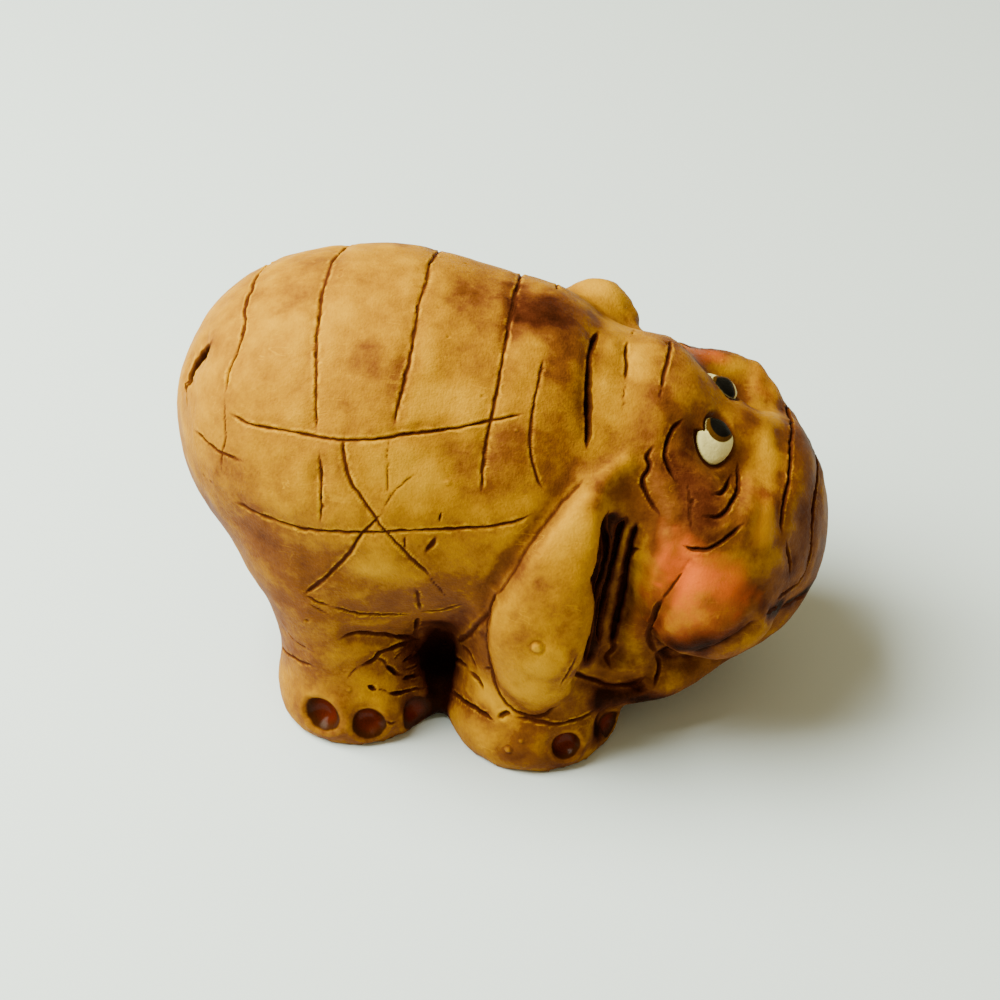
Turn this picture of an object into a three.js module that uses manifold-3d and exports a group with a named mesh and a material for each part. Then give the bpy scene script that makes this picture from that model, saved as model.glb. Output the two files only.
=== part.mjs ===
// A small cast figurine of a fat baby elephant: one solid casting that stands on four short legs,
// with its head low, its trunk curled back under its chin and its ears hanging beside the cheeks.
// Millimetres. +X is the way the elephant faces, +Y is its left side and +Z is up. The origin is on
// the ground, in the middle of the figure's box.
import * as THREE from "three";
import { mergeVertices } from "three/addons/utils/BufferGeometryUtils.js";
import Module from "manifold-3d";

const wasm = await Module();
wasm.setup();

// Driving sizes. The lumps below are placed in the figure's own working frame: the ground is z = 0,
// the middle plane is y = 0, and x = 0 lies between the fore and the hind feet.
const BARREL = { at: [-6.5, 0, 18.0], radii: [15.0, 12.9, 12.4], tilt: 16 };
const RUMP = { at: [-13.6, 0, 20.8], radii: [6.9, 8.8, 7.5] };
const HAUNCH = { at: [-10.2, 5.6, 12.4], radii: [5.6, 6.0, 5.4] };
const SHOULDER = { at: [2.0, 0, 16.9], radii: [8.7, 11.4, 11.2] };
const BELLY = { at: [-2.4, 0, 7.4], radii: [8.2, 6.4, 5.6] };
const SKULL = { at: [9.5, 0, 16.6], radii: [6.8, 9.5, 8.8] };
const MUZZLE = { at: [15.7, 0, 14.0], radii: [6.1, 10.3, 6.8] };
const FACE = { at: [14.2, 6.2, 16.5], radii: [4.6, 4.9, 4.8] };
const CHEEK = { at: [14.8, 8.3, 12.4], radii: [4.6, 3.9, 4.0] };
const JOWL = { at: [10.0, 6.4, 9.0], radii: [3.2, 2.9, 3.9] };
const JAW = { at: [9.3, 0, 4.9], radii: [7.6, 10.3, 3.6] };
const THROAT = { at: [8.4, 0, 3.2], radii: [6.0, 6.6, 2.9] };
const TRUNK = {
  points: [[15.2, 18.2], [17.7, 15.4], [18.1, 11.8], [17.0, 8.6], [14.7, 6.3], [11.6, 5.0]],
  radii: [3.2, 4.1, 4.4, 4.4, 4.2, 3.8],
  width: 1.5,
  links: 12,
};
const HIND_LEG = { hip: [-9.7, 6.8, 10], foot: [-9.0, 6.8, 3.0], radii: [5.0, 4.9], sole: 5.5 };
const FORE_LEG = { hip: [3.3, 7.4, 10], foot: [3.3, 7.7, 3.0], radii: [5.0, 5.1], sole: 5.8 };
const PAD = { height: 1.2, rise: 4.4 };

// The filling between the fore and the hind legs, set back from their outer sides, and the low sill
// that runs out from it between the feet.
const WEB = { from: [-2.9, 0, 3.4], to: [-2.9, 2.2, 3.4], radius: 2.8 };
const SILL = { from: [-2.9, 0, 1.6], to: [-2.9, 6.4, 1.0], radius: 1.9 };

const EAR = {
  spine: [[7.9, 7.9, 22.4], [6.9, 10.1, 20.6], [5.2, 11.8, 17.1], [4.1, 12.3, 12.7], [3.8, 12.1, 8.6]],
  halfWidths: [0.8, 1.6, 2.8, 3.8, 2.9],
  thickness: 3.4,
  facing: [-0.12, 1, 0.18],
  links: 8,
};

// The crease that the ear's rear edge leaves on the shoulder and around the ear's tip. It starts
// this share of the way down, and turns this many degrees around the tip.
const CREASE = { starts: 0.12, turns: 130, links: 7, tipLinks: 4, inset: 2, reach: 6, groove: "broad" };

// The left ear is turned up at its root, into a round lobe with a nick between it and the head.
const PERK = { at: [5.6, 9.8, 22.8], radii: [2.7, 2.0, 2.0] };
const NICK = { at: [8.9, 8.5, 24.2], radii: [1.8, 2.3, 1.7] };

// The hollow beside the bridge of the nose that each eye sits in.
const HOLLOW = { from: [14.3, 4.4, 23.2], to: [16.8, 4.7, 21.2], radii: [1.2, 2.0] };

// The round toe hollows: their angles about each foot, from straight out to the side toward the
// front, and their height, radius and depth.
const TOES = { hind: [-20, 14, 53], fore: [27, 64], height: 2.5, radius: 1.4, depth: 0.95, reach: 9 };

// The eyeballs, set in the hollows.
const EYE = { at: [14.3, 2.5, 20.9], radii: [1.5, 1.1, 1.5] };

// The carved wrinkles that ring the body, the neck and the trunk. Each lies in the plane
// x = place + splay * |y| + lean * z. It runs over the top between its two ends, which are angles
// from straight up, about a line at the given height.
const RINGS = [
  { place: -18.2, splay: -0.05, lean: 0.072, height: 18, end: 52, groove: "fine" },
  { place: -6.9, splay: 0, lean: -0.141, height: 18, end: 88, groove: "fine" },
  { place: -7.7, splay: -0.033, lean: 0.098, height: 18, end: 66, groove: "fine" },
  { place: -0.9, splay: -0.038, lean: 0.064, height: 18, end: 72, groove: "fine" },
  { place: 12.8, splay: -0.068, lean: -0.246, height: 18, end: 56, groove: "broad" },
  { place: 6.1, splay: 0.047, lean: 0.084, height: 18, end: 36, groove: "fine" },
  { place: 21.3, splay: -0.029, lean: -0.119, height: 12, end: 74, groove: "broad" },
  { place: 22.6, splay: -0.25, lean: -0.05, height: 12, end: 86, groove: "fine" },
];

// The carved lines that run along each flank, from x to x, at a height that rises by their slope.
const BANDS = [
  { from: -16.4, to: 2.5, z: 24.6, slope: 0.065, groove: "fine" },
  { from: -16.1, to: 3.7, z: 18.7, slope: 0.08, groove: "fine" },
];
const GROOVES = { fine: { width: 0.65, depth: 0.4 }, broad: { width: 1.1, depth: 0.6 } };
const CARVING = { step: 3, lift: 0.5, reach: 20, meanRadius: 11, shortestEdge: 0.02 };

const BLENDS = { body: 3, head: 2, trunk: 1.2, cheek: 1.3, foot: 2, leg: 1.2, ear: 1.1, hollow: 2 };

// The mesh's cells: coarse over the smooth barrel, fine over the face.
const CELL = { rear: 2.2, face: 1.34, across: 1.45 };
const GRID = { from: [-26, -19, -6], to: [27, 19, 35], faceStarts: -8 };

const rad = THREE.MathUtils.degToRad;

// A rounded lump, tipped nose-down by its tilt. Returns its distance function.
function lump({ at, radii, tilt = 0 }) {
  const [cx, cy, cz] = at;
  const [rx, ry, rz] = radii;
  const [c, s] = [Math.cos(rad(tilt)), Math.sin(rad(tilt))];
  return (x, y, z) => {
    const [dx, dy, dz] = [x - cx, y - cy, z - cz];
    const [u, w] = [c * dx - s * dz, s * dx + c * dz];
    const k0 = Math.hypot(u / rx, dy / ry, w / rz);
    const k1 = Math.hypot(u / rx ** 2, dy / ry ** 2, w / rz ** 2);
    return k1 === 0 ? -Math.min(rx, ry, rz) : (k0 * (k0 - 1)) / k1;
  };
}

// A limb that tapers from radius ra at a to radius rb at b, with round ends.
function limb(a, b, ra, rb) {
  const axis = [b[0] - a[0], b[1] - a[1], b[2] - a[2]];
  const length2 = axis[0] ** 2 + axis[1] ** 2 + axis[2] ** 2;
  return (x, y, z) => {
    const [px, py, pz] = [x - a[0], y - a[1], z - a[2]];
    const along = (px * axis[0] + py * axis[1] + pz * axis[2]) / length2;
    const t = THREE.MathUtils.clamp(along, 0, 1);
    const away = Math.hypot(px - t * axis[0], py - t * axis[1], pz - t * axis[2]);
    return away - THREE.MathUtils.lerp(ra, rb, t);
  };
}

// Two forms run together with a fillet of about size k.
function blend(a, b, k) {
  const h = Math.max(k - Math.abs(a - b), 0) / k;
  return Math.min(a, b) - (h * h * k) / 4;
}

// A smooth curve through points, and a radius that goes evenly from each of a row to the next.
const curveThrough = (points) => new THREE.CatmullRomCurve3(points.map((p) => new THREE.Vector3(...p)));
function radiusAlong(radii, t) {
  const place = t * (radii.length - 1);
  const i = Math.min(Math.floor(place), radii.length - 2);
  return THREE.MathUtils.lerp(radii[i], radii[i + 1], place - i);
}

// A chain of tapering limbs along a smooth curve.
function chain(points, radii, steps) {
  const curve = curveThrough(points);
  const stops = Array.from({ length: steps + 1 }, (_, i) => curve.getPoint(i / steps).toArray());
  const radius = (i) => radiusAlong(radii, i / steps);
  const limbs = stops.slice(1).map((p, i) => limb(stops[i], p, radius(i), radius(i + 1)));
  return (x, y, z) => limbs.reduce((best, f) => Math.min(best, f(x, y, z)), Infinity);
}

function trunk() {
  const path = TRUNK.points.map(([x, z]) => [x, 0, z]);
  const round = chain(path, TRUNK.radii, TRUNK.links);
  return (x, y, z) => round(x, y / TRUNK.width, z);
}

// The ear's own directions: down its length, across it toward the face, and out from the head.
function earAxes() {
  const spine = EAR.spine.map((p) => new THREE.Vector3(...p));
  const down = spine.at(-1).clone().sub(spine[0]).normalize();
  const out = new THREE.Vector3(...EAR.facing);
  out.addScaledVector(down, -out.dot(down)).normalize();
  return { spine, down, out, across: new THREE.Vector3().crossVectors(down, out) };
}

// An ear is a flap: a chain that is flattened across its own thickness.
function ear() {
  const { spine, down, out, across } = earAxes();
  const flat = (2 * Math.max(...EAR.halfWidths)) / EAR.thickness;
  const local = (x, y, z) => {
    const p = new THREE.Vector3(x, y, z).sub(spine[0]);
    return [p.dot(down), p.dot(across), p.dot(out) * flat];
  };
  const flap = chain(spine.map((p) => local(p.x, p.y, p.z)), EAR.halfWidths, EAR.links);
  return (x, y, z) => flap(...local(x, y, z)) / flat ** 0.5;
}

function leg({ hip, foot, radii, sole }) {
  const shank = limb(hip, foot, radii[0], radii[1]);
  const pad = lump({ at: [foot[0], foot[1], PAD.height], radii: [sole, sole, PAD.rise] });
  return (x, y, z) => blend(shank(x, y, z), pad(x, y, z), BLENDS.foot);
}

// The whole figure as one distance function.
function figure() {
  const body = [BARREL, RUMP, HAUNCH, SHOULDER, BELLY].map((l) => lump(l));
  const head = [SKULL, MUZZLE, FACE, JAW, THROAT].map((l) => lump(l));
  const legs = [leg(HIND_LEG), leg(FORE_LEG)];
  const webs = [WEB, SILL].map(({ from, to, radius }) => limb(from, to, radius, radius));
  const cheeks = [JOWL, CHEEK].map((l) => lump(l));
  const nose = trunk();
  const flap = ear();
  const perk = lump(PERK);
  const nick = lump(NICK);
  const hollow = limb(HOLLOW.from, HOLLOW.to, ...HOLLOW.radii);
  return (x, y, z) => {
    const w = Math.abs(y);
    let face = head.map((f) => f(x, w, z)).reduce((d, f) => blend(d, f, BLENDS.head));
    face = blend(face, nose(x, w, z), BLENDS.trunk);
    face = cheeks.map((f) => f(x, w, z)).reduce((d, f) => blend(d, f, BLENDS.cheek), face);
    face = -blend(-face, hollow(x, w, z), BLENDS.hollow);
    let d = body.map((f) => f(x, w, z)).reduce((d, f) => blend(d, f, BLENDS.body));
    d = blend(d, face, BLENDS.head);
    d = webs.map((f) => f(x, w, z)).reduce((d, f) => blend(d, f, BLENDS.leg), d);
    d = blend(d, Math.min(...legs.map((f) => f(x, w, z))), BLENDS.leg);
    d = blend(d, flap(x, w, z), BLENDS.ear);
    d = -blend(-d, nick(x, y, z), BLENDS.ear);
    return blend(d, perk(x, y, z), BLENDS.ear);
  };
}

// The planes of the mesh's cells between two ends, with a spacing that a function gives.
function planes(from, to, spacing) {
  const places = [from];
  while (places.at(-1) < to) places.push(places.at(-1) + spacing(places.at(-1)));
  return places;
}

// Where only two diagonal corners of a cell's side are inside the form, the two parts would touch
// in one line. A third corner is taken inside there, so that the skin stays a plain closed surface.
function closeDiagonals(values, [nx, ny, nz], index) {
  const sides = [[[1, 0, 0], [0, 1, 0]], [[0, 1, 0], [0, 0, 1]], [[0, 0, 1], [1, 0, 0]]];
  for (let changed = true; changed; ) {
    changed = false;
    for (let k = 0; k < nz - 1; k++)
      for (let j = 0; j < ny - 1; j++)
        for (let i = 0; i < nx - 1; i++)
          for (const [u, w] of sides) {
            const a = index(i, j, k);
            const b = index(i + u[0], j + u[1], k + u[2]);
            const c = index(i + u[0] + w[0], j + u[1] + w[1], k + u[2] + w[2]);
            const d = index(i + w[0], j + w[1], k + w[2]);
            const [p, q, r, t] = [a, b, c, d].map((n) => values[n] < 0);
            if (p !== r || q !== t || p === q) continue;
            const outer = p ? [b, d] : [a, c];
            const nearest = values[outer[0]] < values[outer[1]] ? outer[0] : outer[1];
            values[nearest] = -1e-3;
            changed = true;
          }
  }
}

// Turns a distance function into a closed mesh: one vertex in each cell that the surface crosses,
// and one quad around each cell edge that it crosses.
function skin(field, xs, ys, zs) {
  const [nx, ny, nz] = [xs.length, ys.length, zs.length];
  const index = (i, j, k) => i + nx * (j + ny * k);
  const values = new Float64Array(nx * ny * nz);
  for (let k = 0; k < nz; k++)
    for (let j = 0; j < ny; j++)
      for (let i = 0; i < nx; i++) values[index(i, j, k)] = field(xs[i], ys[j], zs[k]);
  closeDiagonals(values, [nx, ny, nz], index);
  const corners = Array.from({ length: 8 }, (_, c) => [c & 1, (c >> 1) & 1, c >> 2]);
  const edges = [];
  for (let a = 0; a < 8; a++) for (const bit of [1, 2, 4]) if (!(a & bit)) edges.push([a, a | bit]);
  const cornerAt = (i, j, k, [a, b, c]) => new THREE.Vector3(xs[i + a], ys[j + b], zs[k + c]);
  const vertexOf = new Int32Array(nx * ny * nz).fill(-1);
  const positions = [];
  for (let k = 0; k < nz - 1; k++)
    for (let j = 0; j < ny - 1; j++)
      for (let i = 0; i < nx - 1; i++) {
        const v = corners.map(([a, b, c]) => values[index(i + a, j + b, k + c)]);
        const sum = new THREE.Vector3();
        let crossed = 0;
        for (const [a, b] of edges)
          if (v[a] < 0 !== v[b] < 0) {
            const t = v[a] / (v[a] - v[b]);
            sum.add(cornerAt(i, j, k, corners[a]).lerp(cornerAt(i, j, k, corners[b]), t));
            crossed++;
          }
        if (crossed) {
          vertexOf[index(i, j, k)] = positions.length / 3;
          positions.push(...sum.divideScalar(crossed).toArray());
        }
      }
  const faces = [];
  const steps = [[1, 0, 0], [0, 1, 0], [0, 0, 1]];
  for (let k = 1; k < nz - 1; k++)
    for (let j = 1; j < ny - 1; j++)
      for (let i = 1; i < nx - 1; i++)
        steps.forEach(([a, b, c], axis) => {
          const inside = values[index(i, j, k)] < 0;
          if (inside === values[index(i + a, j + b, k + c)] < 0) return;
          const u = steps[(axis + 1) % 3];
          const w = steps[(axis + 2) % 3];
          const back = (n, p, q) => [i, j, k][n] - p * u[n] - q * w[n];
          const cell = (p, q) => vertexOf[index(back(0, p, q), back(1, p, q), back(2, p, q))];
          const quad = [cell(1, 1), cell(0, 1), cell(0, 0), cell(1, 0)];
          if (!inside) quad.reverse();
          faces.push(quad[0], quad[1], quad[2], quad[0], quad[2], quad[3]);
        });
  return { positions: new Float32Array(positions), faces: new Uint32Array(faces) };
}

// The field's slope at a place, which points out of the form.
function slope(field, x, y, z) {
  const e = 0.02;
  return new THREE.Vector3(
    field(x + e, y, z) - field(x - e, y, z),
    field(x, y + e, z) - field(x, y - e, z),
    field(x, y, z + e) - field(x, y, z - e),
  ).divideScalar(2 * e);
}

// Moves each vertex onto the surface, along the field's slope.
function settle(positions, field, rounds, reach) {
  for (let n = 0; n < positions.length; n += 3)
    for (let r = 0; r < rounds; r++) {
      const [x, y, z] = positions.subarray(n, n + 3);
      const g = slope(field, x, y, z);
      const move = g.multiplyScalar(-field(x, y, z) / Math.max(g.lengthSq(), 0.05)).clampLength(0, reach);
      positions[n] += move.x;
      positions[n + 1] += move.y;
      positions[n + 2] += move.z;
    }
}

// Evens out the mesh: each vertex goes part of the way to the middle of its neighbours and then
// back onto the surface.
function relax(positions, faces, field, rounds) {
  const near = Array.from({ length: positions.length / 3 }, () => new Set());
  for (let n = 0; n < faces.length; n += 3)
    for (let e = 0; e < 3; e++) {
      near[faces[n + e]].add(faces[n + ((e + 1) % 3)]);
      near[faces[n + ((e + 1) % 3)]].add(faces[n + e]);
    }
  for (let r = 0; r < rounds; r++) {
    const before = positions.slice();
    near.forEach((others, n) => {
      for (let a = 0; a < 3; a++) {
        let sum = 0;
        for (const o of others) sum += before[3 * o + a];
        positions[3 * n + a] = THREE.MathUtils.lerp(before[3 * n + a], sum / others.size, 0.5);
      }
    });
    settle(positions, field, 2, 0.4);
  }
}

// How far out a straight line from inside the form comes through its skin.
function skinAt(field, at, reach) {
  let [inner, outer] = [0, reach];
  for (let n = 0; n < 30; n++) {
    const middle = (inner + outer) / 2;
    if (field(...at(middle)) < 0) inner = middle;
    else outer = middle;
  }
  return inner;
}

// The ball that cuts one toe hollow, set on the foot's skin.
function toe(field, foot, angle, side) {
  const heading = [Math.sin(rad(angle)), side * Math.cos(rad(angle))];
  const at = (r) => [foot[0] + r * heading[0], side * foot[1] + r * heading[1], TOES.height];
  const out = skinAt(field, at, TOES.reach) + TOES.radius - TOES.depth;
  return new THREE.SphereGeometry(TOES.radius, 10, 6).translate(...at(out));
}

// The places on the skin that a ring or a band passes through.
function ringPlaces(field, { place, splay, lean, height, end }) {
  const count = Math.ceil((rad(2 * end) * CARVING.meanRadius) / CARVING.step);
  return Array.from({ length: count + 1 }, (_, i) => {
    const angle = rad(THREE.MathUtils.lerp(-end, end, i / count));
    const at = (r) => {
      const [y, z] = [r * Math.sin(angle), height + r * Math.cos(angle)];
      return [place + splay * Math.abs(y) + lean * z, y, z];
    };
    return new THREE.Vector3(...at(skinAt(field, at, CARVING.reach)));
  });
}

function bandPlaces(field, { from, to, z, slope: rise }, side) {
  const count = Math.ceil((to - from) / CARVING.step);
  return Array.from({ length: count + 1 }, (_, i) => {
    const x = THREE.MathUtils.lerp(from, to, i / count);
    const at = (r) => [x, side * r, z + rise * (x - from)];
    return new THREE.Vector3(...at(skinAt(field, at, CARVING.reach)));
  });
}

// The places on the skin along the ear's rear edge, and on around its tip.
function creasePlaces(field, side) {
  const { down, out, across } = earAxes();
  const curve = curveThrough(EAR.spine);
  const row = (count, place) => Array.from({ length: count + 1 }, (_, i) => place(i / count));
  const beside = (t, angle) => {
    const width = radiusAlong(EAR.halfWidths, t);
    const level = curve.getPoint(t).addScaledVector(across, -width * Math.cos(angle));
    return level.addScaledVector(down, width * Math.sin(angle));
  };
  const rear = row(CREASE.links, (share) => beside(THREE.MathUtils.lerp(CREASE.starts, 1, share), 0));
  const tip = row(CREASE.tipLinks, (share) => beside(1, rad(CREASE.turns * share)));
  return [...rear, ...tip.slice(1)].map((edge) => {
    const at = (r) => {
      const [x, y, z] = edge.clone().addScaledVector(out, r - CREASE.inset).toArray();
      return [x, side * y, z];
    };
    return new THREE.Vector3(...at(skinAt(field, at, CREASE.reach)));
  });
}

// The three-sided cutter of a V-shaped groove along places on the skin. It stands proud of the
// skin by its lift, and comes up out of it at both ends.
function groove(field, places, { width, depth }) {
  const { lift } = CARVING;
  const last = places.length - 1;
  const corners = places.flatMap((p, i) => {
    const along = places[Math.min(i + 1, last)].clone().sub(places[Math.max(i - 1, 0)]);
    const out = slope(field, p.x, p.y, p.z).normalize();
    const across = new THREE.Vector3().crossVectors(along, out).normalize();
    const fade = i === 0 || i === last ? 0.02 : 1;
    const half = ((width / 2) * fade * (depth + lift)) / depth;
    const top = p.clone().addScaledVector(out, lift);
    return [
      top.clone().addScaledVector(across, -half),
      top.clone().addScaledVector(across, half),
      p.clone().addScaledVector(out, -depth * fade),
    ];
  });
  const faces = [2, 1, 0, 3 * last, 3 * last + 1, 3 * last + 2];
  for (let i = 0; i < last; i++)
    for (let c = 0; c < 3; c++) {
      const [a, b] = [3 * i + c, 3 * i + ((c + 1) % 3)];
      faces.push(a, b, a + 3, b, b + 3, a + 3);
    }
  return new THREE.BufferGeometry().setFromPoints(corners).setIndex(faces);
}

// A closed three.js geometry as a solid that can be cut.
function solid(geometry) {
  const bare = geometry.clone();
  bare.deleteAttribute("normal");
  bare.deleteAttribute("uv");
  const merged = mergeVertices(bare);
  return new wasm.Manifold(
    new wasm.Mesh({
      numProp: 3,
      vertProperties: merged.attributes.position.array,
      triVerts: new Uint32Array(merged.index.array),
    }),
  );
}

// Draws together the two ends of each edge shorter than the least length, as cuts leave them. An
// edge is kept where its ends share more than the two corners that face it, so that the surface
// stays plain and closed.
function dropShortEdges(positions, faces, least) {
  const place = (n) => new THREE.Vector3().fromArray(positions, 3 * n);
  let kept = faces;
  for (let changed = true; changed; ) {
    changed = false;
    const near = Array.from({ length: positions.length / 3 }, () => new Set());
    const edges = kept.flatMap(([a, b, c]) => [[a, b], [b, c], [c, a]]);
    for (const [a, b] of edges) near[a].add(b);
    const touched = new Set();
    const goesTo = new Map();
    for (const [a, b] of edges) {
      if (a > b || place(a).distanceTo(place(b)) > least) continue;
      const ring = [a, b, ...near[a], ...near[b]];
      const shared = [...near[a]].filter((n) => near[b].has(n));
      if (shared.length !== 2 || ring.some((n) => touched.has(n))) continue;
      ring.forEach((n) => touched.add(n));
      goesTo.set(b, a);
      changed = true;
    }
    kept = kept
      .map((face) => face.map((n) => goesTo.get(n) ?? n))
      .filter(([a, b, c]) => a !== b && b !== c && c !== a);
  }
  return kept;
}

function geometryOf(made) {
  const mesh = made.getMesh();
  const faces = Array.from({ length: mesh.triVerts.length / 3 }, (_, n) => [
    ...mesh.triVerts.subarray(3 * n, 3 * n + 3),
  ]);
  return new THREE.BufferGeometry()
    .setAttribute("position", new THREE.BufferAttribute(mesh.vertProperties, 3))
    .setIndex(dropShortEdges(mesh.vertProperties, faces, CARVING.shortestEdge).flat());
}

function elephant() {
  const field = figure();
  const mix = (x) => THREE.MathUtils.smoothstep(x, GRID.faceStarts, GRID.faceStarts + 4);
  const xs = planes(GRID.from[0], GRID.to[0], (x) => THREE.MathUtils.lerp(CELL.rear, CELL.face, mix(x)));
  const half = planes(0, GRID.to[1], () => CELL.across);
  const ys = [...half.slice(1).map((y) => -y).reverse(), ...half];
  const zs = planes(GRID.from[2], GRID.to[2], () => CELL.across);
  const { positions, faces } = skin(field, xs, ys, zs);
  settle(positions, field, 3, 0.4);
  relax(positions, faces, field, 5);
  const rough = new THREE.BufferGeometry()
    .setAttribute("position", new THREE.BufferAttribute(positions, 3))
    .setIndex(new THREE.BufferAttribute(faces, 1));
  let cast = solid(rough);
  const ground = new THREE.BoxGeometry(100, 100, 20).translate(0, 0, -10);
  cast = cast.subtract(solid(ground));
  for (const side of [-1, 1])
    for (const [foot, angles] of [[HIND_LEG.foot, TOES.hind], [FORE_LEG.foot, TOES.fore]])
      for (const angle of angles) cast = cast.subtract(solid(toe(field, foot, angle, side)));
  for (const ring of RINGS)
    cast = cast.subtract(solid(groove(field, ringPlaces(field, ring), GROOVES[ring.groove])));
  for (const side of [-1, 1]) {
    for (const band of BANDS)
      cast = cast.subtract(solid(groove(field, bandPlaces(field, band, side), GROOVES[band.groove])));
    cast = cast.subtract(solid(groove(field, creasePlaces(field, side), GROOVES[CREASE.groove])));
    const ball = new THREE.SphereGeometry(1, 12, 8).scale(...EYE.radii);
    cast = cast.add(solid(ball.translate(EYE.at[0], side * EYE.at[1], EYE.at[2])));
  }
  return geometryOf(cast);
}

const geometry = elephant();
geometry.computeBoundingBox();
const centre = geometry.boundingBox.getCenter(new THREE.Vector3());
geometry.translate(-centre.x, -centre.y, 0);

const resin = new THREE.MeshStandardMaterial({ color: 0xb98a3c, roughness: 0.55, metalness: 0 });
const mesh = new THREE.Mesh(geometry, resin);
mesh.name = "elephant";
const group = new THREE.Group();
group.add(mesh);
export default group;
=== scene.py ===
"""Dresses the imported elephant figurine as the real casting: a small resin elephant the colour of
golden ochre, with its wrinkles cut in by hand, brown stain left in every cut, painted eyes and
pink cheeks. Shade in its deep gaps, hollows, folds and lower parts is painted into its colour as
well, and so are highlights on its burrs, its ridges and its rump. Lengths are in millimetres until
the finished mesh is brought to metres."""
import logging
import math
from dataclasses import dataclass, field
from enum import Enum
from typing import Union

import bpy
import numpy as np
from bpy.types import Material, Mesh, Node, NodeSocket, Object, bpy_prop_collection
from mathutils import Matrix, Vector, noise
from mathutils.bvhtree import BVHTree


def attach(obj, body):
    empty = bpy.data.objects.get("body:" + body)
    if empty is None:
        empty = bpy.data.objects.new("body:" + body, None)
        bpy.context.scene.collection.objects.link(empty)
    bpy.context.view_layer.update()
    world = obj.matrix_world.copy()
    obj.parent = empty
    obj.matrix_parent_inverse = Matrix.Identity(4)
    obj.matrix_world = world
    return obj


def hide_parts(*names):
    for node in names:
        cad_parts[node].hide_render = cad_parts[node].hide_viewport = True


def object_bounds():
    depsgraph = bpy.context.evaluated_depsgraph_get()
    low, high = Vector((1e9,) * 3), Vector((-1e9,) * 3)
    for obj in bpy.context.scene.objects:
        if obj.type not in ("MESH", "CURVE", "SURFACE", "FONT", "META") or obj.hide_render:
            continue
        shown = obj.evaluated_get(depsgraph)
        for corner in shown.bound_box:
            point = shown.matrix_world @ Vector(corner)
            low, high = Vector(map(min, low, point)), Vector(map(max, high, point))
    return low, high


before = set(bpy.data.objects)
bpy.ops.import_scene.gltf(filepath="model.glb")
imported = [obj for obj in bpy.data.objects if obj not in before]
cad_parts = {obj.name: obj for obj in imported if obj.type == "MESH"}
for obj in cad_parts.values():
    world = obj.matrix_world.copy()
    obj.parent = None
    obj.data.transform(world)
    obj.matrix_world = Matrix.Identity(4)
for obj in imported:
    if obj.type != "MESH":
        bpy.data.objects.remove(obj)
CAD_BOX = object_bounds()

LOG = logging.getLogger("elephant")
MM = 0.001
Pixel = tuple[float, float]
Run = tuple[float, ...]  # The columns and rows of pixels in turn.
Colour = tuple[float, float, float]
Band = tuple[float, float, float]  # An amount, and the two ends of the soft step up to it.
Swell = tuple[float, float, int]  # An unevenness: its height, its size and its seed.
Cloud = tuple[float, float, float, float]  # A noise's size, detail, roughness and seed.
Array = np.ndarray
FIGURE = "elephant_casting"
# Pixels between the points of a stroke, how far the hand strays there, and over what length.
PIXEL_STEP, HAND_SHAKE, SLOW_SWAY, QUICK_SWAY = 2.5, 0.9, 9, 4
# Where a cut's lip stands and how wide it is, in half widths of the cut.
LIP_PLACE, LIP_WIDTH = 1.55, 0.5
# The lengths over which a cut's width, its edge, its depth and its lip vary.
WANDER, QUIVER, DIG, TEAR = 1.1, 0.45, 0.9, 0.55
ASIDE = 7.3  # How far apart the noises of two cuts are taken.
TOE_RIM = 0.09  # How high the skin stands around a toe hollow.
STAIN_STEP = 12.0  # Pixels between the points of a stain.
LEAP = 2.0  # A longer step of a line crosses a gap and isn't cut.
SOLE = 0.02  # Below this height the skin is the flat sole.
EASE_IN, EASE_OUT = 0.6, -0.62  # The shares of the way that evening moves the skin.
CLEARANCE = 0.05  # How far off the skin a ray starts.
BEYOND = 9.0  # Kept, in eye radii, for all that isn't at an eye.


def toward(azimuth: float, elevation: float) -> Vector:
    """Returns the direction that lies at two angles from the figure, both in degrees."""
    turn, rise = math.radians(azimuth), math.radians(elevation)
    flat = math.cos(rise)
    return Vector((math.sin(turn) * flat, -math.cos(turn) * flat, math.sin(rise)))


def pulled(items: bpy_prop_collection, name: str, width: int, kind: type) -> Array:
    """Returns one property of a mesh's vertices, edges, corners or faces.

    Args:
        items: the vertices, edges, corners or faces.
        name: the property.
        width: how many numbers each has, one a column.
        kind: the type of its numbers.
    """
    flat = np.empty(width * len(items), kind)
    items.foreach_get(name, flat)
    return flat.reshape(-1, width) if width > 1 else flat


@dataclass(frozen=True)
class Viewpoint:
    """Where the photograph was taken from. Angles are in degrees and lengths in millimetres, but
    the clip's start is in metres."""

    azimuth: float = 7.0
    elevation: float = 38.0
    distance: float = 165.0
    aim: tuple[float, float, float] = (-0.35, 0.0, 12.8)
    focal: float = 86.4
    sensor: float = 36.0
    frame_width: int = 1000
    clip_start: float = 0.01

    def axes(self) -> tuple[Vector, Vector, Vector]:
        """Returns the camera's right, up and backward directions."""
        back = toward(self.azimuth, self.elevation)
        right = Vector((0, 0, 1)).cross(back).normalized()
        return right, back.cross(right), back

    def eye(self) -> Vector:
        """Returns the camera's place."""
        return Vector(self.aim) + self.distance * self.axes()[2]

    def ray(self, pixel: Pixel) -> Vector:
        """Returns the direction of the line of sight through a pixel of the photograph."""
        right, up, back = self.axes()
        scale = self.sensor / (self.focal * self.frame_width)
        half = self.frame_width / 2
        across, down = (pixel[0] - half) * scale, (pixel[1] - half) * scale
        return (right * across - up * down - back).normalized()

    def build(self) -> None:
        """Makes the camera."""
        right, up, back = self.axes()
        data = bpy.data.cameras.new("camera")
        data.lens = self.focal
        data.sensor_width = self.sensor
        data.clip_start = self.clip_start
        camera = bpy.data.objects.new("camera", data)
        turn = Matrix((right, up, back)).transposed().to_4x4()
        camera.matrix_world = Matrix.Translation(self.eye() * MM) @ turn
        bpy.context.scene.collection.objects.link(camera)
        bpy.context.scene.camera = camera


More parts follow.
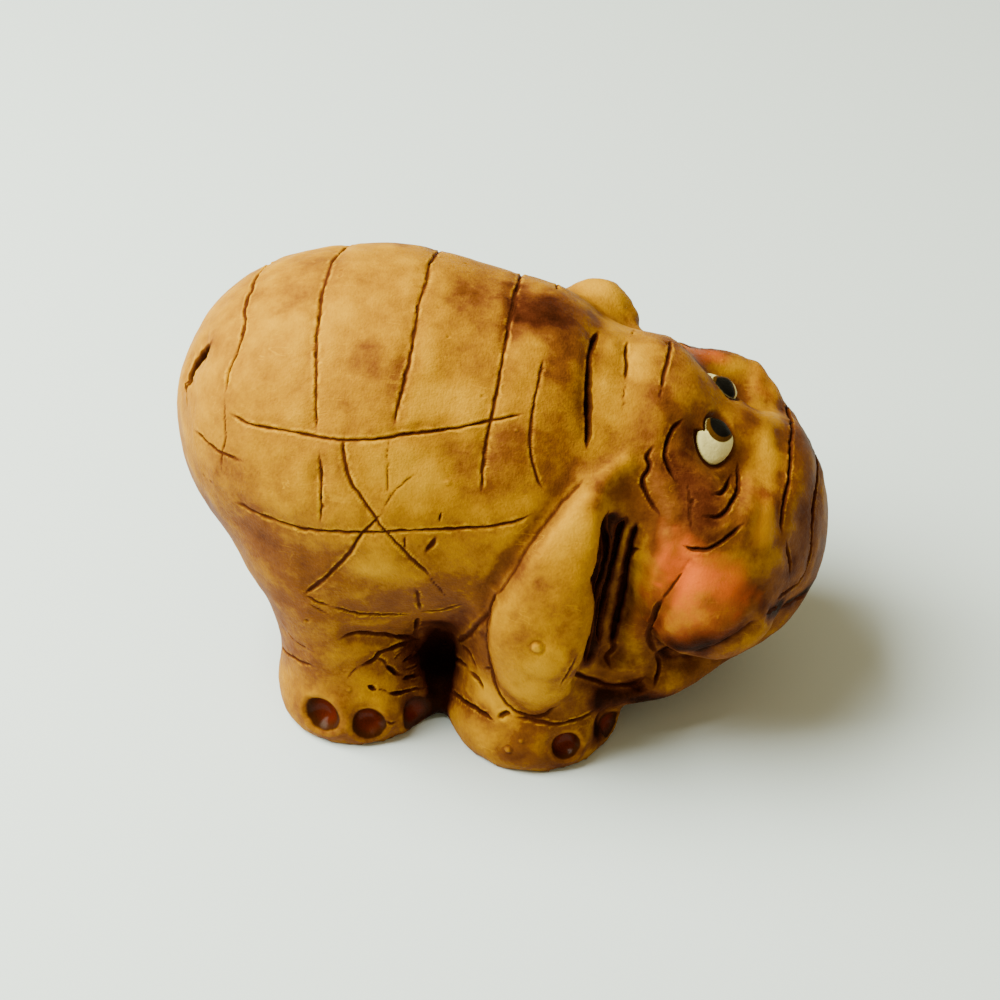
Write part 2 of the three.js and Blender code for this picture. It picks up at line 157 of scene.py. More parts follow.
class Surface:
    """A mesh's skin, to lay lines on."""

    def __init__(self, piece: Object) -> None:
        """Reads a piece's faces."""
        mesh = piece.data
        places = [v.co.copy() for v in mesh.vertices]
        self.tree = BVHTree.FromPolygons(places, [p.vertices[:] for p in mesh.polygons])

    def seen(self, view: Viewpoint, pixel: Pixel) -> Vector | None:
        """Returns the place on the skin that a pixel of the photograph shows, if any."""
        return self.tree.ray_cast(view.eye(), view.ray(pixel))[0]

    def twin(self, place: Vector) -> Vector:
        """Returns a place's mirror on the figure's other side."""
        return self.tree.find_nearest(Vector((place.x, -place.y, place.z)))[0]

    def both(self, view: Viewpoint, pixel: Pixel) -> list[Vector]:
        """Returns the place that a pixel shows and its mirror on the figure's far side."""
        place = self.seen(view, pixel)
        if place is None:
            LOG.warning("pixel %s misses the figure", pixel)
            return []
        return [place, self.twin(place)]

    def openness(self, place: Vector, normal: Vector, rays: list[Vector], reach: float) -> float:
        """Returns the share of the rays over a place that leave it freely."""
        start = place + normal * CLEARANCE
        ways = [ray if ray.dot(normal) > 0 else -ray for ray in rays]
        return sum(self.tree.ray_cast(start, way, reach)[0] is None for way in ways) / len(rays)


def trace(points: Run, step: float, wobble: float = 0.0) -> list[Pixel]:
    """Returns the pixels along a smooth run through some points.

    Args:
        points: the columns and rows of the pixels that the run passes through.
        step: how far apart the returned pixels are, about.
        wobble: how far the hand that drew it shook.
    """
    corners = [Vector(pixel) for pixel in zip(points[::2], points[1::2])]
    if len(corners) == 1:
        return [points]
    ends = [2 * corners[0] - corners[1], *corners, 2 * corners[-1] - corners[-2]]
    run: list[Pixel] = []
    for before, a, b, after in zip(ends, ends[1:], ends[2:], ends[3:]):
        count = max(1, round((b - a).length / step))
        for i in range(count):
            t = i / count
            bend = (2 * before - 5 * a + 4 * b - after) * t * t
            turn = (3 * a - before - 3 * b + after) * t**3
            place = 0.5 * (2 * a + (b - before) * t + bend + turn)
            slow, quick = place / SLOW_SWAY, place / QUICK_SWAY
            sway = [noise.noise((*slow, s)) + noise.noise((*quick, s + 5)) / 2 for s in (0, 20)]
            run.append(tuple(place + wobble * Vector(sway)))
    return [*run, tuple(corners[-1])]


@dataclass(frozen=True)
class Tool:
    """What one graver does to the skin: a cut with a raised burr beside it, in a soft valley.

    Width and depth are the cut's, valley and sink are the soft valley's half width and depth, burr
    is the lip's height, and the last number is how dark the cut is left: brown stain, and in the
    deepest cuts painted shade as well. A sink below 0 raises a ridge."""

    width: float
    depth: float
    valley: float = 0.0
    sink: float = 0.0
    burr: float = 0.0
    stain_and_shade: float = 1.0


class Cut(Enum):
    """The gravers that the carver used."""

    MAIN = Tool(width=0.25, depth=0.15, valley=0.7, sink=0.06, burr=0.08, stain_and_shade=0.7)
    THIN = Tool(width=0.21, depth=0.13, burr=0.05, stain_and_shade=0.75)
    HAIR = Tool(width=0.14, depth=0.07, burr=0.02, stain_and_shade=0.6)
    # The neck's crease is left dark: stain, and painted shade in the crease.
    NECK = Tool(width=0.38, depth=0.38, valley=1.0, sink=0.10, burr=0.05, stain_and_shade=1.35)
    FACE = Tool(width=0.27, depth=0.26, valley=0.9, sink=0.12, burr=0.06, stain_and_shade=1.25)
    FOLD = Tool(width=0.28, depth=0.24, valley=1.3, sink=0.25, burr=0.03, stain_and_shade=1.15)
    TUCK = Tool(width=0.20, depth=0.08, valley=1.3, sink=0.26, stain_and_shade=0.55)
    HEM = Tool(width=0.26, depth=0.22, valley=1.0, sink=0.24, stain_and_shade=0.9)
    SOFT = Tool(width=0.40, depth=0.08, valley=1.4, sink=0.38, stain_and_shade=0.34)
    # The gaps behind the ear are left near black: stain, and painted shade deep in the hollow.
    GAP = Tool(width=0.34, depth=0.45, valley=1.0, sink=0.42, stain_and_shade=1.8)
    DENT = Tool(width=0.36, depth=0.22, burr=0.05, stain_and_shade=0.8)
    RIFT = Tool(width=0.25, depth=0.28, valley=0.8, sink=0.12, burr=0.09, stain_and_shade=1.3)
    RIDGE = Tool(width=0.20, depth=0.0, valley=1.0, sink=-0.24, stain_and_shade=0.0)
    # The tail's slit is left near black: stain, and the painted shadow under the tail's flap.
    TAIL = Tool(width=0.85, depth=0.8, valley=1.8, sink=0.4, burr=0.10, stain_and_shade=1.7)

    def __call__(self, *points: float, far: bool = True, over: bool = False) -> "Stroke":
        """Returns this graver's stroke through the pixels whose columns and rows are given."""
        return Stroke(self, points, far, over)


@dataclass(frozen=True)
class Stroke:
    """One cut: the graver, the pixels of the photograph that it passes through, whether it is on
    the far side too, and whether it runs over the back from one side to the other."""

    cut: Cut
    points: Run
    far: bool
    over: bool

    def lay(self, skin: Surface, view: Viewpoint) -> list[Array]:
        """Returns the lines on the skin that the graver follows, one array of places for each."""
        seen = [skin.seen(view, pixel) for pixel in trace(self.points, PIXEL_STEP, HAND_SHAKE)]
        places = [p for p in seen if p is not None and not (self.over and p.y > 0)]
        twins = [skin.twin(p) for p in places]
        if self.over:
            lines = [twins[::-1] + places]
        else:
            lines = [places, twins] if self.far else [places]
        return [np.array([tuple(p) for p in line]) for line in lines if len(line) > 1]


HOOPS = (
    Cut.MAIN(268, 267, 253, 286, 245, 304, 243, 327, 238, 350, 230, 370, 225, 396, over=True),
    Cut.HAIR(225, 396, 225, 437, 221, 457, 221, 473),
    Cut.MAIN(345, 247, 336, 263, 326, 279, 321, 296, 319, 317, 316, 340, 316, 399, 316, 432, over=True),
    Cut.MAIN(319, 451, 320, 465, 321, 488, 321, 524),
    Cut.MAIN(442, 252, 434, 266, 427, 281, 419, 302, 416, 322, 410, 359, 405, 378, 397, 409, 392, 430,
             over=True),
    Cut.HAIR(390, 436, 388, 447, 387, 475, 389, 500),
    Cut.MAIN(526, 276, 518, 297, 512, 312, 507, 335, 498, 386, 493, 411, 487, 437, 483, 465, 481, 494,
             over=True),
    Cut.THIN(543, 358, 538, 383, 533, 409, 530, 432, 531, 455, 536, 475, 543, 490),
)
FLANK = (
    Cut.MAIN(230, 413, 247, 423, 270, 428, 300, 433, 323, 438, 346, 440, 377, 439, 407, 434, 441, 430,
             474, 424, 499, 419, 525, 413),
    Cut.MAIN(234, 502, 257, 513, 282, 522, 303, 529, 339, 532, 377, 532, 415, 530, 453, 529, 492, 526,
             517, 521, 533, 513),
    Cut.THIN(194, 429, 206, 441, 219, 452, 231, 457, 244, 462),
    Cut.HAIR(201, 474, 218, 486),
    Cut.MAIN(344, 433, 343, 449, 349, 478, 360, 496, 373, 514, 382, 527, 407, 554, 431, 578, far=False),
    Cut.MAIN(383, 511, 371, 525, 360, 536, 349, 554, 333, 571, 313, 588, 303, 595, far=False),
    Cut.HAIR(418, 471, 393, 493, 382, 511, far=False),
    Cut.THIN(441, 512, 439, 522, far=False),
    Cut.DENT(436, 536, 431, 545, 425, 553, far=False),
    Cut.THIN(403, 534, 406, 551, far=False),
    Cut.HAIR(428, 574, 438, 588, 448, 598, far=False),
    Cut.THIN(304, 595, 318, 602, 332, 607),
    Cut.MAIN(330, 606, 347, 611, 363, 614, 387, 615, 413, 616),
    Cut.MAIN(418, 613, 438, 611, 463, 604),
    Cut.HAIR(307, 603, 330, 615),
    Cut.MAIN(415, 588, 418, 598, 420, 611, far=False),
    Cut.RIFT(418, 618, 417, 628, 416, 637),
    Cut.DENT(489, 610, 481, 620, 473, 630, 461, 640),
)
RUMP = (
    Cut.TAIL(210, 344, 203, 350, 195, 359, 190, 369, 187, 381, 186, 390, far=False),
    Cut.RIFT(185, 376, 184, 386, 187, 393, far=False),
    Cut.HAIR(187, 393, 187, 408, far=False),
)
NECK = (
    Cut.NECK(599, 331, 594, 341, 590, 355, 589, 372, 589, 392, 589, 413, 589, 432, 586, 449, far=False),
    Cut.MAIN(628, 341, 626, 352, 627, 367, 625, 382, far=False),
    Cut.HAIR(625, 379, 624, 392, 622, 413),
    Cut.MAIN(670, 340, 669, 356, 664, 374, 661, 390, far=False),
    Cut.HAIR(661, 387, 660, 401),
)
EAR = (
    Cut.RIDGE(597, 492, 606, 477, 620, 465, 637, 454),
    Cut.GAP(637, 522, 628, 550, 622, 585, 616, 625, 612, 650),
    Cut.TUCK(586, 476, 571, 491, 551, 515, 528, 545, 508, 577, 493, 598),
    Cut.HEM(497, 590, 489, 606, 485, 625, 484, 645, 488, 668, 494, 690, 507, 708, 527, 718, 545, 717,
            560, 704),
    Cut.GAP(609, 512, 608, 529, 605, 560, 598, 600, 593, 640, 587, 665),
    Cut.THIN(577, 655, 570, 668, 560, 686),
    Cut.FOLD(641, 549, 629, 556, 621, 580, 619, 601, 613, 636, 614, 650, 607, 659, 611, 669),
    Cut.GAP(626, 518, 617, 540, 609, 580, 603, 620, 600, 645),
)
FACE = (
    Cut.RIDGE(672, 522, 667, 550, 656, 588, 645, 625),
    Cut.RIDGE(661, 472, 668, 500, 677, 528),
    Cut.RIDGE(612, 661, 631, 667, 651, 662),
    Cut.RIDGE(746, 470, 750, 505, 742, 540),
    Cut.SOFT(694, 556, 682, 570, 667, 591, 657, 606, 649, 625),
    Cut.THIN(684, 572, 676, 580, 668, 590, 657, 604),
    Cut.FACE(660, 600, 654, 610, 651, 617, 649, 628),
    Cut.FOLD(649, 622, 647, 634, 650, 646, 658, 654),
    Cut.SOFT(656, 653, 674, 659, 698, 656, 720, 648, 740, 637, 763, 619),
    Cut.FOLD(657, 655, 661, 665, 658, 677, 654, 688),
    Cut.FOLD(575, 674, 593, 680, 612, 686, 632, 684, 646, 677),
    Cut.FACE(683, 419, 673, 430, 666, 450, 667, 461, 677, 483),
    Cut.FACE(654, 445, 647, 456, 650, 466, 643, 479, 648, 497, 660, 515),
    Cut.HAIR(687, 480, 689, 502, 691, 532),
    Cut.DENT(692, 500, 692, 504),
    Cut.FACE(731, 474, 725, 489, 711, 495, far=False),
    Cut.FACE(737, 462, 738, 487, 728, 509, 718, 516, 703, 516, far=False),
    Cut.FACE(742, 523, 734, 532, 714, 547, 696, 550, 682, 545),
)
TRUNK = (
    Cut.FACE(783, 405, 784, 423, 790, 438, 791, 461, 788, 486, 783, 514, 782, 534, over=True),
    Cut.FACE(786, 540, 790, 561, 789, 577),
    Cut.FACE(819, 475, 815, 505, 813, 534, 809, 563, 799, 582, 788, 591, 778, 600, over=True),
    Cut.FOLD(821, 580, 811, 593, 793, 605, 778, 610, 765, 616),
)
FEET = (
    Cut.FOLD(338, 639, 349, 636, 368, 635, 395, 638, 419, 639),
    Cut.THIN(279, 644, 290, 656, 316, 667),
    Cut.HAIR(282, 625, 295, 641, 315, 652),
    Cut.HAIR(346, 680, 354, 671, 360, 666),
    Cut.RIFT(359, 667, 367, 664, 375, 660, 381, 653, 392, 649, 404, 645, 414, 641),
    Cut.RIFT(385, 665, 391, 669, 396, 673, 402, 675),
    Cut.RIFT(403, 662, 410, 658, 417, 652),
    Cut.THIN(377, 659, 384, 661, 387, 666),
    Cut.THIN(393, 660, 402, 652),
    Cut.THIN(404, 670, 412, 668, 419, 663),
    Cut.RIFT(402, 680, 411, 677, 420, 674),
    Cut.RIFT(368, 686, 373, 689, 377, 689),
    Cut.HAIR(377, 689, 383, 690, 389, 693),
    Cut.RIFT(388, 693, 398, 694, 410, 691, 424, 688),
    Cut.THIN(386, 721, 391, 723, 396, 722),
    Cut.RIFT(450, 690, 460, 699, 475, 709, 494, 721),
    Cut.DENT(462, 646, 471, 655, 476, 668),
    Cut.DENT(468, 672, 478, 680, 483, 692),
    Cut.DENT(497, 719, 505, 714, 512, 717),
    Cut.MAIN(513, 718, 540, 723, 561, 724, 584, 717, 596, 709),
    Cut.DENT(457, 658, 467, 666),
    Cut.DENT(458, 641, 466, 637),
    Cut.THIN(482, 670, 491, 671),
)
STROKES = HOOPS + FLANK + RUMP + NECK + EAR + FACE + TRUNK + FEET


@dataclass(frozen=True)
class Spot:
    """A round toe hollow, or a small bump or pock that the casting came out with: the pixel of its
    middle, its radius, and its depth as a hollow or its height as a bump, below 0 for a pock."""

    pixel: Pixel
    radius: float
    size: float


TOES = (
    Spot((326, 711), 1.42, 0.5),
    Spot((369, 722), 1.22, 0.45),
    Spot((417, 714), 1.3, 0.5),
    Spot((565, 744), 1.05, 0.45),
    Spot((609, 724), 0.95, 0.45),
)
BEADS = (
    Spot((537, 648), 0.42, 0.32),
    Spot((508, 750), 0.3, 0.16),
    Spot((521, 741), 0.22, 0.1),
    Spot((340, 276), 0.16, -0.09),
    Spot((439, 308), 0.16, -0.07),
    Spot((448, 337), 0.14, -0.07),
    Spot((482, 396), 0.16, -0.08),
    Spot((448, 482), 0.2, 0.1),
    Spot((466, 446), 0.16, 0.07),
    Spot((516, 430), 0.16, 0.07),
    Spot((307, 620), 0.2, -0.12),
    Spot((349, 690), 0.2, 0.1),
    Spot((712, 479), 0.16, 0.07),
    Spot((718, 617), 0.16, 0.07),
)


@dataclass(frozen=True)
class Patch:
    """A ragged patch of the casting's colouring: the pixels along its middle, how far it reaches
    from them in millimetres, how strong it is, and whether it is on the far side too. Among the
    stains, a patch above 0 adds stain and painted shade, and a patch below 0 rubs stain off and adds
    a painted highlight."""

    points: Run
    reach: float
    strength: float
    far: bool = True


# Patches of real stain and wear mixed with painted shade and painted highlight; the pale ones on the
# back and rump also stand for the lamp's sheen.
BACK_STAIN_AND_SHADE = (
    # Painted highlight: the sheen on the rump.
    Patch((262, 318, 300, 340), 3.0, -0.4),
    Patch((365, 355, 392, 378), 2.2, 0.9),
    Patch((335, 400, 360, 410), 1.8, 0.35),
    Patch((470, 285, 490, 320, 488, 365), 3.2, 0.36),
    Patch((530, 300, 556, 322, 572, 345), 3.3, 1.25),
    Patch((562, 345, 569, 375), 2.2, 0.3),
    Patch((568, 405, 562, 430, 553, 475), 2.6, 0.65),
    Patch((435, 395, 462, 400), 2.4, -0.85),
    Patch((345, 315, 348, 345), 2.0, -0.35),
    Patch((385, 470, 425, 480), 2.8, -0.95),
    Patch((512, 440, 505, 480), 2.2, 0.95),
    Patch((455, 455, 475, 470), 1.8, 0.45),
    Patch((300, 258, 320, 268), 1.8, 0.4),
)
SIDE_STAIN_AND_SHADE = (
    Patch((365, 570, 400, 575), 2.3, -0.9),
    Patch((452, 562), 1.8, -0.3),
    Patch((262, 540, 300, 560, 335, 560), 2.6, 0.5),
    Patch((225, 470, 250, 500), 2.6, 0.5),
    Patch((286, 675, 315, 690), 1.9, -0.65),
    Patch((360, 682, 380, 692), 1.8, -0.7),
    Patch((440, 590, 460, 610), 2.2, 0.35),
    Patch((500, 590, 470, 650), 1.9, 0.5),
    Patch((485, 690, 500, 705), 1.9, -1.5),
    Patch((475, 730, 500, 745), 1.8, -0.25),
    Patch((505, 757, 560, 765), 1.5, 0.7),
    Patch((520, 738, 550, 725), 1.6, 0.4),
    Patch((410, 640, 420, 665), 1.2, 0.9),
    # Painted shade: the gap and the web between the legs painted black.
    Patch((430, 650, 438, 665, 441, 690, 441, 712), 1.6, 3.0),
    # Painted shadow of the jaw on the near front foot.
    Patch((596, 733, 610, 722), 1.5, 2.2),
)
EAR_STAIN_AND_SHADE = (
    Patch((585, 500, 572, 535), 2.0, -0.6),
    # Painted shade where the ear meets the head.
    Patch((600, 486, 598, 505), 1.1, 1.2),
    Patch((505, 590, 500, 620), 2.0, -0.7),
    Patch((590, 505), 1.4, 0.5),
    Patch((510, 640, 520, 655), 1.6, 0.35),
    Patch((538, 655, 528, 690), 2.6, -1.0),
)
FACE_STAIN_AND_SHADE = (
    Patch((605, 385, 615, 410), 2.1, -0.5),
    Patch((640, 365, 655, 372), 2.0, -0.5),
    Patch((642, 430), 1.8, 0.45),
    Patch((660, 392, 668, 408), 1.3, 0.3),
    Patch((585, 292, 605, 300), 2.8, -1.0, far=False),
    Patch((695, 352, 722, 366), 2.0, -1.0, far=False),
    Patch((770, 445, 763, 480, 764, 525), 1.9, -1.1),
    Patch((690, 435, 688, 455), 1.5, 0.8),
    Patch((750, 420), 1.4, 0.6),
    Patch((735, 372, 748, 384), 1.6, -0.7, far=False),
    # Painted shade beside the ear's root.
    Patch((618, 478, 630, 490, 636, 512), 1.7, 0.7),
    Patch((680, 470, 700, 485, 705, 530), 2.3, 1.0),
    Patch((648, 560, 641, 600, 638, 612), 1.4, -0.9),
    Patch((624, 655, 634, 660), 1.1, -0.35),
    # Painted shade deep in the hollow behind the ear.
    Patch((608, 520, 602, 570, 595, 620, 587, 655), 1.2, 2.2),
    Patch((630, 570, 627, 600, 622, 640), 1.1, -0.5),
    Patch((668, 648, 700, 644, 735, 628), 1.6, 1.0),
    Patch((740, 592, 765, 600), 1.8, 0.9),
    # Painted shade under the trunk, where the lamp doesn't reach, with stain.
    Patch((768, 612, 790, 601, 812, 584), 1.1, 2.0),
    Patch((654, 628, 672, 644, 695, 640), 1.5, 1.1),
    Patch((690, 645, 714, 660, 694, 676), 2.2, 0.75),
    Patch((785, 590, 805, 540, 812, 490), 2.2, 0.7),
    Patch((790, 430, 806, 470), 1.8, 0.25),
    # Painted shadow under the jaw and on the sill beneath it.
    Patch((600, 700, 628, 698, 655, 700), 1.8, 2.4),
    Patch((583, 684, 605, 690), 1.1, 0.7),
    Patch((765, 392, 782, 406), 1.6, 0.8),
)
STAIN_AND_SHADE = BACK_STAIN_AND_SHADE + SIDE_STAIN_AND_SHADE + EAR_STAIN_AND_SHADE + FACE_STAIN_AND_SHADE
BLUSHES = (
    Patch((682, 560, 700, 570, 728, 582), 2.2, 0.7),
    Patch((696, 578, 682, 602), 1.7, 0.6),
    Patch((672, 548, 662, 590), 2.2, 0.26),
    Patch((730, 600, 705, 618), 1.9, 0.2),
    Patch((762, 500, 762, 530), 1.7, 0.13),
    Patch((656, 626, 672, 620, 682, 636), 1.6, 0.18),
    Patch((642, 600, 636, 630), 1.3, 0.1),
    Patch((690, 350, 712, 354), 1.5, 0.45, far=False),
)


@dataclass(frozen=True)
class Eye:
    """A painted eye on the wall of the nose's bridge, for the right side; the left is its mirror.

    Its places are pixels of the photograph and its sizes millimetres. Within reach the skin is
    split finer, and beyond outer nothing belongs to the eye."""

    middle: Pixel = (716, 440)
    pupil: Pixel = (720.5, 424)
    iris: Pixel = (719.5, 426.5)
    half_width: float = 1.25
    half_height: float = 1.5
    pupil_radius: float = 0.83
    iris_radius: float = 0.97
    lid: float = 0.62
    far_shift: tuple[float, float] = (0.2, 0.45)
    far_squint: float = 0.66
    swell: float = 0.25
    rim: float = 0.24
    reach: float = 1.9
    outer: float = 3.0


@dataclass(frozen=True)
class AgeingAndShade:
    """Where the colouring lies darker, brown stain and painted shade together: how much, and from where
    to where it gets so. Heights and lengths along the figure are in millimetres, shelter runs from 1,
    open, to 0."""

    thinnest: float = 0.2
    # Darker low down, on the face and trunk and on undersides: stain, and painted shade where the
    # lamp's light falls off.
    low_down: Band = (0.7, 23.0, 15.0)
    face: Band = (1.0, 7.5, 11.0)
    underside: Band = (0.45, 0.0, 0.7)
    trunk: Band = (0.5, 17.5, 21.0)
    trunk_tip: Band = (1.0, 17.0, 12.0)
    # Darker where the skin is sheltered, folded or hollow: stain, and painted shade.
    sheltered: Band = (0.8, 0.72, 0.5)
    folded: Band = (1.0, 0.5, 0.28)
    hollow: Band = (0.55, 0.0, 0.05)
    # Paler on ridges: stain worn off, and a painted highlight.
    worn: Band = (-0.55, 0.01, 0.07)


def smooth(value: Array, low: float, high: float) -> Array:
    """Returns a soft step from 0 at low to 1 at high."""
    t = np.clip((value - low) / (high - low), 0, 1)
    return t * t * (3 - 2 * t)


def rising(value: Array, band: Band) -> Array:
    """Returns a soft step from 0 to the band's amount."""
    return band[0] * smooth(value, *band[1:])


def bell(value: Array, middle: float, width: float) -> Array:
    """Returns a bell that is 1 at its middle."""
    return np.exp(-(((value - middle) / width) ** 2))


def bowl(ratio: Array, power: float) -> Array:
    """Returns a round bowl that is 1 at its middle and 0 from a ratio of 1 on."""
    return (1 - np.clip(ratio, 0, 1) ** 2) ** power


def grain(places: Array, size: float, seed: float) -> Array:
    """Returns smooth noise of a given size, from about -1 to 1, at each place."""
    shift = Vector((seed, -seed, 2 * seed))
    return np.array([noise.noise(Vector(p) / size + shift) for p in places])


def to_line(places: Array, line: Array) -> tuple[Array, Array, float]:
    """Measures how places lie to a line.

    Args:
        places: the places, one a row.
        line: the line's corners in order, one a row.

    Returns:
        Each place's distance to the line, how far along the line it is, and the line's length.
    """
    starts, spans = line[:-1], np.diff(line, axis=0)
    lengths = np.linalg.norm(spans, axis=1)
    near = lengths < LEAP
    starts, spans, lengths = starts[near], spans[near], np.maximum(lengths[near], 1e-6)
    before = np.concatenate(([0.0], np.cumsum(lengths)[:-1]))
    offset = places[:, None, :] - starts[None]
    t = np.clip((offset * spans[None]).sum(2) / lengths**2, 0, 1)
    gap = np.linalg.norm(offset - t[..., None] * spans[None], axis=2)
    best = gap.argmin(1)
    rows = np.arange(len(places))
    return gap[rows, best], before[best] + t[rows, best] * lengths[best], lengths.sum()


def beside(places: Array, line: Array, reach: float) -> tuple[Array, Array, Array, float]:
    """Finds the places that lie near a line.

    Args:
        places: the places, one a row.
        line: the line's corners in order, one a row.
        reach: how far from the line a place still counts.

    Returns:
        Their row numbers, their distances to the line, how far along it they are, and its length.
    """
    low, high = line.min(0) - reach, line.max(0) + reach
    rows = np.nonzero(((places > low) & (places < high)).all(1))[0]
    gap, along, length = to_line(places[rows], line)
    near = gap < reach
    return rows[near], gap[near], along[near], length


@dataclass
class Casting:
    """The figurine's one casting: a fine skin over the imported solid's form."""

    view: Viewpoint
    voxel: float = 0.5
    evening_rounds: int = 7
    margins: tuple[float, float] = (0.18, 0.02)
    swells: tuple[Swell, ...] = ((0.11, 4.5, 3), (0.06, 1.6, 9), (0.035, 0.8, 5))
    age: AgeingAndShade = field(default_factory=AgeingAndShade)
    eye: Eye = field(default_factory=Eye)
    piece: Object = field(init=False)
    lines: list[tuple[Tool, Array]] = field(init=False, default_factory=list)

    @property
    def mesh(self) -> Mesh:
        """The piece's mesh."""
        return self.piece.data

    def select_only(self) -> None:
        """Makes the piece the one selected, active object."""
        bpy.ops.object.select_all(action="DESELECT")
        self.piece.select_set(True)
        bpy.context.view_layer.objects.active = self.piece

    def apply(self, kind: str, **settings: object) -> None:
        """Adds a modifier with its settings and applies it."""
        modifier = self.piece.modifiers.new(kind.lower(), kind)
        for name, value in settings.items():
            setattr(modifier, name, value)
        self.select_only()
        bpy.ops.object.modifier_apply(modifier=modifier.name)

    def places(self) -> Array:
        """Returns the vertices' places, one a row."""
        return pulled(self.mesh.vertices, "co", 3, float)

    def normals(self) -> Array:
        """Returns the vertices' normals, one a row."""
        return pulled(self.mesh.vertices, "normal", 3, np.float32).astype(float)

    def put(self, places: Array) -> None:
        """Moves the vertices to their new places."""
        self.mesh.vertices.foreach_set("co", places.ravel())
        self.mesh.update()

    def lift(self, rise: Array) -> None:
        """Moves each vertex out of the skin by its own amount, or into it below 0."""
        self.put(self.places() + self.normals() * rise[:, None])

    def blank(self, rows: int) -> Array:
        """Returns rows of zeros, each with one number a vertex."""
        return np.zeros((rows, len(self.mesh.vertices)))

    def store(self, name: str, values: Array) -> None:
        """Keeps one number a vertex under a name, for the finish to read."""
        kept = self.mesh.attributes
        layer = kept.get(name) or kept.new(name, "FLOAT", "POINT")
        layer.data.foreach_set("value", values.astype(np.float32))

    def recall(self, name: str) -> Array:
        """Returns the numbers kept under a name."""
        return pulled(self.mesh.attributes[name].data, "value", 1, np.float32).astype(float)

    def start(self, node: Object) -> None:
        """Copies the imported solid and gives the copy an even, finely meshed skin."""
        mesh = node.data.copy()
        mesh.name = FIGURE
        mesh.materials.clear()
        mesh.transform(Matrix.Scale(1 / MM, 4))
        self.piece = bpy.data.objects.new(FIGURE, mesh)
        bpy.context.scene.collection.objects.link(self.piece)
        self.apply("WELD", merge_threshold=1e-4)
        self.apply("REMESH", mode="VOXEL", voxel_size=self.voxel)
        self.even_out()
        LOG.info("even skin: %d vertices", len(self.mesh.vertices))

    def even_out(self) -> None:
        """Takes the facets off the skin without shrinking it: each round eases in, then out."""
        places = self.places()
        flat = places[:, 2] < SOLE
        for share in (EASE_IN, EASE_OUT) * self.evening_rounds:
            places = self.eased(places, share)
            places[flat, 2] = 0.0
        self.put(places)

    def eased(self, places: Array, share: float) -> Array:
        """Returns the places, each moved a share of the way to the middle of its neighbours."""
        a, b = pulled(self.mesh.edges, "vertices", 2, np.int64).T
        count = len(places)
        degree = np.bincount(a, minlength=count) + np.bincount(b, minlength=count)
        total = np.empty_like(places)
        for axis in range(3):
            column = places[:, axis]
            total[:, axis] = np.bincount(a, column[b], count) + np.bincount(b, column[a], count)
        return places + share * (total / degree[:, None] - places)

    def relief(self, rounds: int = 8) -> Array:
        """Returns how far each vertex stands out of the skin around it, below 0 in a hollow."""
        places = around = self.places()
        for _ in range(rounds):
            around = self.eased(around, EASE_IN)
        return ((places - around) * self.normals()).sum(1)

    def mark_openness(self, rays: int = 32, reach: float = 7.0) -> None:
        """Keeps how open each part of the skin lies, from 0 in a deep fold to 1 on the back."""
        golden = math.pi * (3 - math.sqrt(5))
        ways = []
        for i in range(rays):
            rise = 1 - (2 * i + 1) / rays
            flat = math.sqrt(1 - rise * rise)
            ways.append(Vector((math.cos(golden * i) * flat, math.sin(golden * i) * flat, rise)))
        skin = Surface(self.piece)
        vertices = self.mesh.vertices
        self.store("open", np.array([skin.openness(v.co, v.normal, ways, reach) for v in vertices]))

    def lay_lines(self) -> None:
        """Lays every stroke on the skin, on both sides of the figure."""
        skin = Surface(self.piece)
        for stroke in STROKES:
            for line in stroke.lay(skin, self.view):
                self.lines.append((stroke.cut.value, line))

    def spots(self) -> list[tuple[Vector, float]]:
        """Returns the places of the eyes, toes and beads, each with the radius that it needs."""
        skin = Surface(self.piece)
        wanted = [(self.eye.middle, self.eye.reach)]
        wanted += [(spot.pixel, 1.2 * spot.radius) for spot in TOES + BEADS]
        return [(p, radius) for pixel, radius in wanted for p in skin.both(self.view, pixel)]

    def refine(self) -> None:
        """Splits the skin's faces twice beside the cuts and the small features."""
        spots = self.spots()
        for margin in self.margins:
            places = self.places()
            chosen = np.zeros(len(places), bool)
            for tool, line in self.lines:
                chosen[beside(places, line, tool.width / 2 + margin)[0]] = True
            for place, radius in spots:
                gap = np.linalg.norm(places - np.array(place), axis=1)
                chosen |= gap < radius + margin
            self.split(chosen)
            LOG.info("finer skin: %d vertices", len(self.mesh.vertices))

    def split(self, chosen: Array) -> None:
        """Splits every face that has a chosen vertex, and smooths what was split.

        Args:
            chosen: for each vertex, whether the faces around it are split.
        """
        self.select_only()
        mesh = self.mesh
        corners = pulled(mesh.loops, "vertex_index", 1, np.int64)
        starts = pulled(mesh.polygons, "loop_start", 1, np.int64)
        faces = np.add.reduceat(chosen[corners].astype(int), starts) > 0
        bpy.ops.object.mode_set(mode="EDIT")
        bpy.ops.mesh.select_mode(type="FACE")
        bpy.ops.mesh.select_all(action="DESELECT")
        bpy.ops.object.mode_set(mode="OBJECT")
        mesh.polygons.foreach_set("select", faces)
        bpy.ops.object.mode_set(mode="EDIT")
        bpy.ops.mesh.subdivide(number_cuts=1, ngon=False, smoothness=1.0)
        bpy.ops.mesh.vertices_smooth(factor=0.5, repeat=2)
        bpy.ops.object.mode_set(mode="OBJECT")

